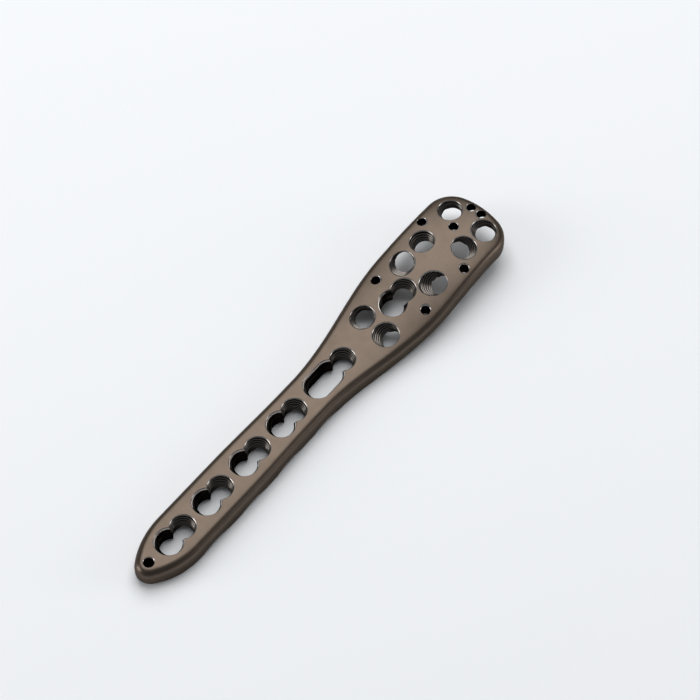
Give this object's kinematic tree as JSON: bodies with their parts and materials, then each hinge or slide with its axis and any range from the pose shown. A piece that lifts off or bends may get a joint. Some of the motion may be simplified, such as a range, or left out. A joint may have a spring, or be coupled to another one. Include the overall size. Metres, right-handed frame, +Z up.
{
  "type": "orthopedic bone plate",
  "caption": "Anatomical locking bone plate: slim straight shaft with combination holes that widens into a raised, curved head with leaning locking holes and small wire holes.",
  "frame": {"origin": "middle of the bounding box, at the level that the shaft's underside rests on", "axes": "+X along the plate from the narrow nose of the shaft to the head, +Y across it, +Z up, away from the bone"},
  "size_m": [0.1142, 0.02, 0.0089],
  "materials": {
    "anodised_titanium": "satin brown anodised titanium"
  },
  "bodies": {
    "root": {"bone_plate": "anodised_titanium"}
  },
  "joints": []
}
